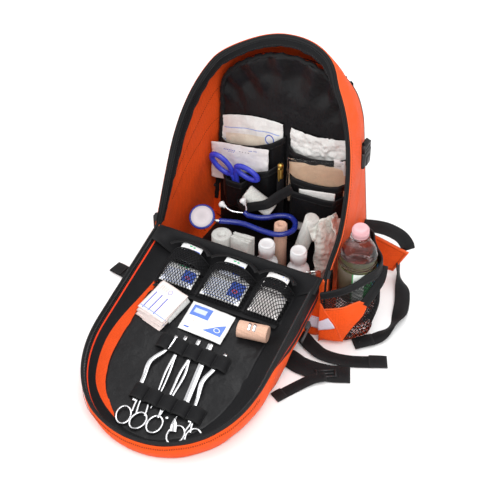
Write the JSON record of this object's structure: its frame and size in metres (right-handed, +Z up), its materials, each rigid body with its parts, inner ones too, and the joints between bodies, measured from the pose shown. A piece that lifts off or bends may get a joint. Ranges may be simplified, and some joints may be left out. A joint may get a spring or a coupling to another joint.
{
  "type": "backpack",
  "caption": "Clamshell trauma backpack lying open, orange and black fabric, lined with pockets and loops that hold its first aid kit, with a bottle in the side pocket.",
  "frame": {"origin": "on the floor under the middle of the pack body's base, between its side walls", "axes": "+Z up, -Y out of the front where the lid opens, +Y towards the wearer's back, +X to the side that holds the bottle"},
  "size_m": [0.5074, 0.5867, 0.4273],
  "materials": {
    "orange_fabric": "woven polyester",
    "black_fabric": "woven nylon",
    "black_mesh": "knitted mesh",
    "zip_tape": "zip tape",
    "webbing": "ribbed webbing",
    "stiffener": "sheet",
    "black_plastic": "moulded acetal",
    "zip_metal": "black enamel",
    "reflective_tape": "glass bead tape",
    "blue_plastic": "moulded",
    "white_paper": "coated paper and film",
    "beige_dressing": "crepe",
    "white_gauze": "gauze",
    "brass_tube": "satin",
    "steel": "polished",
    "blue_rubber": "smooth",
    "diaphragm": "film over metal bell",
    "foil": "crinkled",
    "white_plastic": "moulded",
    "clear_plastic": "clear bottle"
  },
  "bodies": {
    "pack": {"back_lining_panel": "black_fabric", "back_pad": "black_fabric", "base_board": "stiffener", "beige_pack": "beige_dressing", "beige_roll": "beige_dressing", "body_zip_tape": "zip_tape", "buckle_female": "black_plastic", "dressing_packs": "white_paper", "foil_packet": "foil", "frame_sheet": "stiffener", "gauze_block": "white_gauze", "gauze_roll": "white_gauze", "glove_bag": "white_paper", "main_shell": "orange_fabric", "organiser_pockets_left": "black_fabric", "organiser_pockets_right": "black_fabric", "paper_pack": "white_paper", "penlight": "brass_tube", "pill_bottle_caps": "white_plastic", "pill_bottles": "white_plastic", "reflective_strips": "reflective_tape", "roll_strap": "webbing", "rolled_bandage": "white_gauze", "side_pocket_left": "black_mesh", "side_pocket_right": "black_mesh", "slip_card": "white_paper", "stethoscope_binaurals": "steel", "stethoscope_chest_piece": "diaphragm", "stethoscope_tube": "blue_rubber", "strap_tails": "webbing", "strap_wings": "orange_fabric", "tape_roll": "beige_dressing", "waist_belt": "webbing"},
    "lid": {"lid_shell": "orange_fabric", "lid_zip_tape": "zip_tape", "pocket_zip_tape": "zip_tape", "lid_lining_panel": "black_fabric", "mesh_pockets": "black_mesh", "mesh_hem_band": "black_fabric", "card_packs": "white_paper", "plaster_stack": "white_paper", "gauze_pack": "white_paper", "elastic_bandage": "beige_dressing", "instrument_loops": "webbing", "forceps_set": "steel", "ring_instruments": "steel"},
    "buckle_male": {"buckle_male": "black_plastic"},
    "grab_handle": {"grab_handle": "webbing"},
    "shoulder_strap_left": {"shoulder_strap_left": "black_fabric"},
    "shoulder_strap_right": {"shoulder_strap_right": "black_fabric"},
    "zip_slider_left": {"zip_slider_left": "zip_metal"},
    "zip_slider_right": {"zip_slider_right": "zip_metal"},
    "zip_pull_left": {"zip_pull_left": "zip_metal"},
    "zip_pull_right": {"zip_pull_right": "zip_metal"},
    "pocket_zip_slider": {"pocket_zip_slider": "zip_metal"},
    "pocket_zip_pull": {"pocket_zip_pull": "zip_metal"},
    "trauma_shears": {"trauma_shears": "blue_plastic"},
    "water_bottle": {"water_bottle": "clear_plastic"},
    "water_bottle_cap": {"water_bottle_cap": "white_plastic"},
    "ladder_lock": {"ladder_lock": "black_plastic"}
  },
  "joints": [
    {"name": "lid_hinge", "type": "hinge", "parent": "pack", "child": "lid", "pos_m": [0, -0.105, 0.12], "axis": [-1, 0, 0], "range_deg": [0, 132]},
    {"name": "zip_left_slide", "type": "slide", "parent": "pack", "child": "zip_slider_left", "axis": [0.0534, 0.4688, 0.8817], "range_m": [0, 0.06]},
    {"name": "zip_right_slide", "type": "slide", "parent": "pack", "child": "zip_slider_right", "axis": [-0.0534, 0.4688, 0.8817], "range_m": [0, 0.06]},
    {"name": "pull_left_swing", "type": "hinge", "parent": "zip_slider_left", "child": "zip_pull_left", "pos_m": [-0.1573, -0.0994, 0.1306], "axis": [1, 0, 0], "range_deg": [-75, 15]},
    {"name": "pull_right_swing", "type": "hinge", "parent": "zip_slider_right", "child": "zip_pull_right", "pos_m": [0.1573, -0.0994, 0.1306], "axis": [1, 0, 0], "range_deg": [-30, 8]},
    {"name": "pocket_zip_slide", "type": "slide", "parent": "lid", "child": "pocket_zip_slider", "axis": [0, -0.9703, -0.2419], "range_m": [-0.04, 0.11]},
    {"name": "pocket_pull_swing", "type": "hinge", "parent": "pocket_zip_slider", "child": "pocket_zip_pull", "pos_m": [0.1517, -0.1659, 0.07493], "axis": [1, 0, 0], "range_deg": [-60, 60]},
    {"name": "grab_handle_swing", "type": "hinge", "parent": "pack", "child": "grab_handle", "pos_m": [0, 0.1065, 0.356], "axis": [1, 0, 0], "range_deg": [0, 130]},
    {"name": "shoulder_left_swing", "type": "hinge", "parent": "pack", "child": "shoulder_strap_left", "pos_m": [0, 0.119, 0.334], "axis": [1, 0, 0], "range_deg": [0, 35]},
    {"name": "shoulder_right_swing", "type": "hinge", "parent": "pack", "child": "shoulder_strap_right", "pos_m": [0, 0.119, 0.334], "axis": [1, 0, 0], "range_deg": [0, 35]},
    {"name": "buckle_release", "type": "slide", "parent": "pack", "child": "buckle_male", "axis": [0, 0, 1], "range_m": [0, 0.03]},
    {"name": "ladder_lock_slide", "type": "slide", "parent": "pack", "child": "ladder_lock", "axis": [1, 0, 0], "range_m": [0, 0.008]},
    {"name": "bottle_lift", "type": "slide", "parent": "pack", "child": "water_bottle", "axis": [0, 0, 1], "range_m": [0, 0.15]},
    {"name": "bottle_cap_turn", "type": "hinge", "parent": "water_bottle", "child": "water_bottle_cap", "pos_m": [0.1885, -0.072, 0.211], "axis": [0, 0, 1], "range_deg": [0, 360]},
    {"name": "shears_lift", "type": "slide", "parent": "pack", "child": "trauma_shears", "axis": [0, -0.1564, 0.9877], "range_m": [0, 0.05]}
  ]
}
